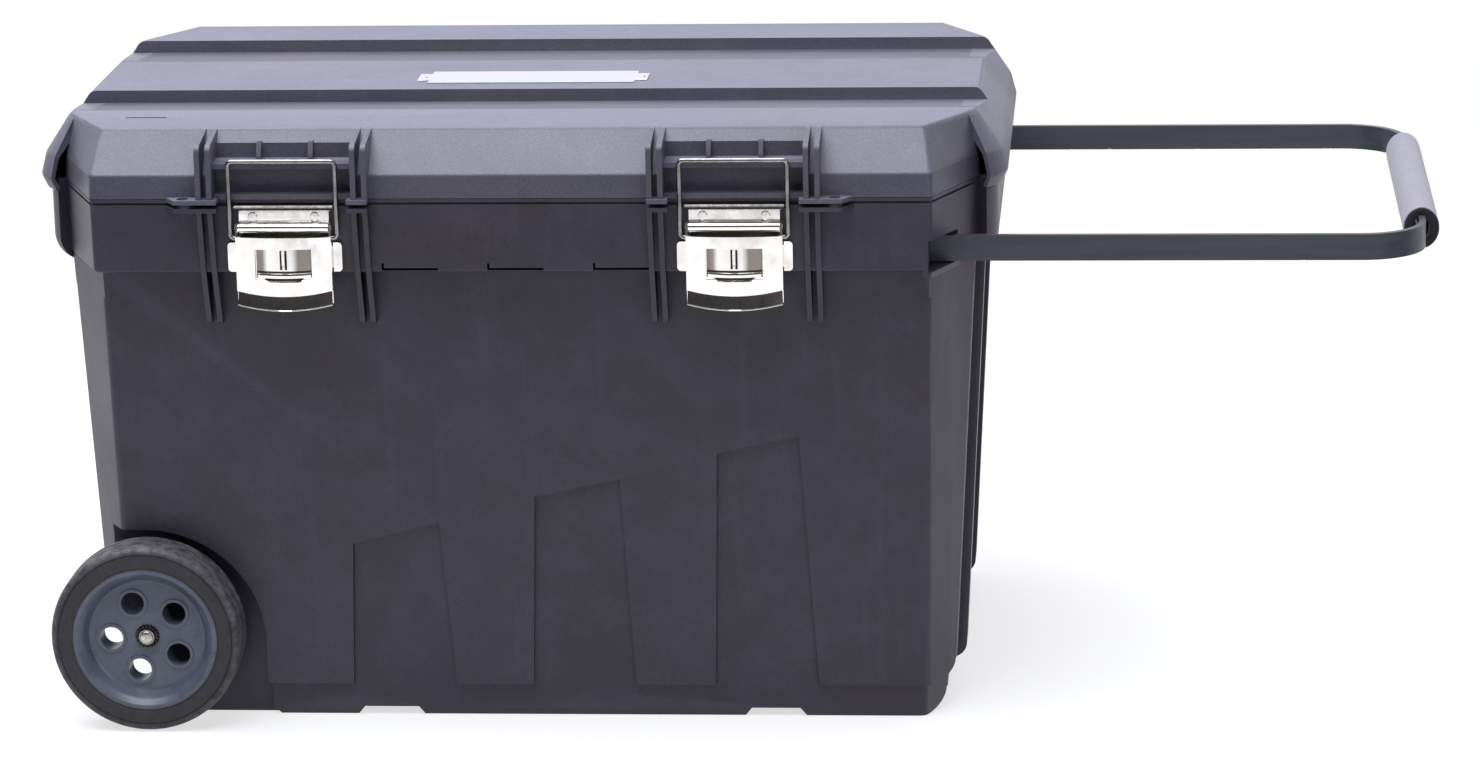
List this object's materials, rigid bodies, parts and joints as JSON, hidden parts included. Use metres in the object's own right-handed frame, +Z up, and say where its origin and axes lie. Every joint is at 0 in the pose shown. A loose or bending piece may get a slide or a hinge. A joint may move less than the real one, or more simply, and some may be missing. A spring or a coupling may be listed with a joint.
{
  "type": "wheeled tool storage chest",
  "caption": "Wheeled plastic jobsite chest with a hinged lid, draw latches, end carry lobes and a pull-out loop handle.",
  "frame": {"origin": "centre of the chest's flat underside, on the ground", "axes": "+Z up, +X towards the pull handle, -Y towards the latches; handle drawn out, lid and latches closed"},
  "size_m": [1.091, 0.5094, 0.4783],
  "materials": {
    "tub_plastic": "moulded structural foam, fine texture",
    "lid_plastic": "moulded structural foam, fine texture",
    "seal_rubber": "soft foam rubber",
    "hinge_steel": "plain rod",
    "plate_metal": "satin, bare",
    "bar_metal": "satin dark paint",
    "grip_foam": "soft foam, matt",
    "slider_plastic": "plain",
    "fastener_steel": "zinc plated",
    "axle_steel": "plain bright",
    "cap_steel": "zinc plated",
    "hub_plastic": "satin",
    "tyre_rubber": "moulded",
    "latch_metal": "bright nickel",
    "latch_wire": "bright nickel"
  },
  "bodies": {
    "chest": {"tub": "tub_plastic", "rim_seal": "seal_rubber", "lid_hinge_pins": "hinge_steel", "handle_guide_front": "slider_plastic", "handle_guide_rear": "slider_plastic", "guide_screws": "fastener_steel", "axle": "axle_steel", "axle_washers": "fastener_steel", "axle_caps": "cap_steel", "latch_base_left": "latch_metal", "latch_base_right": "latch_metal", "latch_hinge_pins": "latch_wire", "latch_rivets": "fastener_steel", "padlock_staples": "latch_metal"},
    "lid_body": {"lid": "lid_plastic", "name_plate": "plate_metal", "name_plate_pins": "plate_metal"},
    "pull_handle": {"handle_bar": "bar_metal", "handle_grip": "grip_foam", "handle_sliders": "slider_plastic", "handle_rivets": "fastener_steel"},
    "front_wheel": {"wheel_hub_front": "hub_plastic", "tyre_front": "tyre_rubber"},
    "rear_wheel": {"wheel_hub_rear": "hub_plastic", "tyre_rear": "tyre_rubber"},
    "left_lever": {"latch_lever_left": "latch_metal"},
    "right_lever": {"latch_lever_right": "latch_metal"},
    "left_bail": {"latch_bail_left": "latch_wire"},
    "right_bail": {"latch_bail_right": "latch_wire"}
  },
  "joints": [
    {"name": "lid_hinge", "type": "hinge", "parent": "chest", "child": "lid_body", "pos_m": [0, 0.2386, 0.427], "axis": [-1, 0, 0], "range_deg": [0, 100]},
    {"name": "handle_slide", "type": "slide", "parent": "chest", "child": "pull_handle", "axis": [1, 0, 0], "range_m": [-0.3, 0]},
    {"name": "front_wheel_spin", "type": "hinge", "parent": "chest", "child": "front_wheel", "pos_m": [-0.296, -0.2318, 0.075], "axis": [0, 1, 0], "continuous": true},
    {"name": "rear_wheel_spin", "type": "hinge", "parent": "chest", "child": "rear_wheel", "pos_m": [-0.296, 0.2318, 0.075], "axis": [0, 1, 0], "continuous": true},
    {"name": "left_lever_hinge", "type": "hinge", "parent": "chest", "child": "left_lever", "pos_m": [-0.173, -0.2515, 0.406], "axis": [-1, 0, 0], "range_deg": [0, 120]},
    {"name": "right_lever_hinge", "type": "hinge", "parent": "chest", "child": "right_lever", "pos_m": [0.173, -0.2515, 0.406], "axis": [-1, 0, 0], "range_deg": [0, 120]},
    {"name": "left_bail_swing", "type": "hinge", "parent": "left_lever", "child": "left_bail", "pos_m": [-0.173, -0.25, 0.3975], "axis": [-1, 0, 0], "range_deg": [-144, 0]},
    {"name": "right_bail_swing", "type": "hinge", "parent": "right_lever", "child": "right_bail", "pos_m": [0.173, -0.25, 0.3975], "axis": [-1, 0, 0], "range_deg": [-144, 0]}
  ],
  "couplings": [
    {"joint": "left_bail_swing", "follows": "left_lever_hinge", "ratio": -1.2},
    {"joint": "right_bail_swing", "follows": "right_lever_hinge", "ratio": -1.2}
  ]
}
